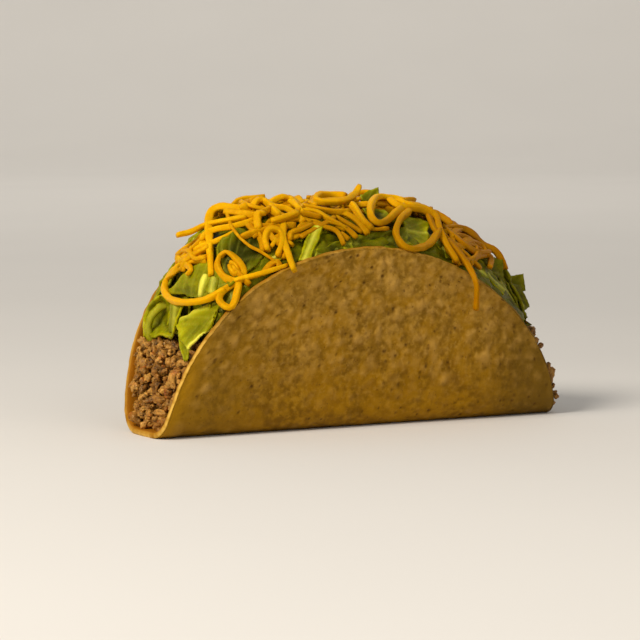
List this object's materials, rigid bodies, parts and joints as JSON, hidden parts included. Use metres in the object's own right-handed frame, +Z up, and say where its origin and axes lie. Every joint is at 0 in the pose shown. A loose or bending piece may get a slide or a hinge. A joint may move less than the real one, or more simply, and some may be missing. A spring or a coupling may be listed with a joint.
{
  "type": "taco",
  "caption": "Crisp folded corn tortilla filled with ground beef, lettuce shreds and grated cheese, standing on its fold.",
  "frame": {"origin": "middle of the flat strip that the folded tortilla stands on", "axes": "+X along the fold, -Y towards the lower front wall, +Z up"},
  "size_m": [0.1526, 0.0635, 0.0801],
  "materials": {
    "tortilla": "matte, dry and slightly oily, with fine blisters and dark toasted specks",
    "beef": "moist crumbly lumps with a soft sheen",
    "lettuce": "smooth wet leaf with a soft sheen and pale ribs",
    "cheese": "soft satin shreds"
  },
  "bodies": {
    "root": {"tortilla_shell": "tortilla", "ground_beef": "beef", "lettuce_shreds": "lettuce", "cheese_shreds": "cheese"}
  },
  "joints": []
}
